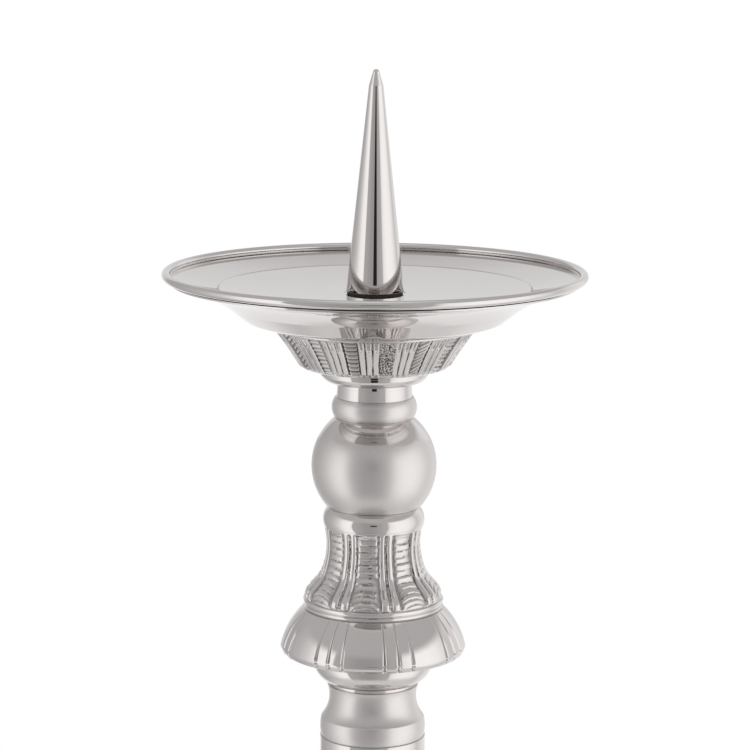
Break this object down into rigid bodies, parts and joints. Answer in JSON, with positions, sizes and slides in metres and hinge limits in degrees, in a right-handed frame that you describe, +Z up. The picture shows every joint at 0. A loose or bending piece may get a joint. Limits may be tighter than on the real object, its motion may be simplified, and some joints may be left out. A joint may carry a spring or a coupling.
{
  "type": "pricket candle stand",
  "caption": "Silver-plated pricket candle stand: tapered spike over a wide drip pan, reeded cup, ball knop, chased vase and bell on a plain column with a domed foot.",
  "frame": {"origin": "on the floor, under the middle of the foot", "axes": "+Z up along the stand's axis; -Y is the front, the side in the picture; +X to the picture's right"},
  "size_m": [0.144, 0.144, 0.4001],
  "materials": {
    "polished_silver": "mirror polish",
    "satin_silver": "satin",
    "plain_steel": "zinc plated",
    "green_felt": "felt",
    "black_fibre": "vulcanised fibre"
  },
  "bodies": {
    "stand": {"plinth": "polished_silver", "foot_dome": "polished_silver", "foot_collar": "polished_silver", "column": "polished_silver", "under_bowl": "polished_silver", "bell_skirt": "polished_silver", "chased_vase": "polished_silver", "collar_band": "polished_silver", "cup_foot": "polished_silver", "reeded_cup": "polished_silver", "foot_knop": "satin_silver", "lower_neck": "satin_silver", "upper_neck": "satin_silver", "ball_knop": "satin_silver", "neck_bulb": "satin_silver", "clamp_plate": "plain_steel", "rod_washer": "plain_steel", "rod_nut": "plain_steel", "tie_rod": "plain_steel", "felt_pad": "green_felt"},
    "pan": {"pan_bowl": "polished_silver", "pan_spacer": "plain_steel", "drip_tray": "polished_silver"},
    "washer": {"spike_washer": "black_fibre"},
    "spike": {"pricket_spike": "polished_silver"}
  },
  "joints": [
    {"name": "pan_lift", "type": "slide", "parent": "stand", "child": "pan", "axis": [0, 0, 1], "range_m": [0, 0.03]},
    {"name": "spike_rise", "type": "slide", "parent": "pan", "child": "washer", "axis": [0, 0, 1], "range_m": [0, 0.0125]},
    {"name": "spike_turn", "type": "hinge", "parent": "washer", "child": "spike", "pos_m": [0, 0, 0.33462], "axis": [0, 0, 1], "range_deg": [0, 3600]}
  ],
  "couplings": [
    {"joint": "spike_turn", "follows": "spike_rise", "rad_per_m": 5026.5}
  ]
}
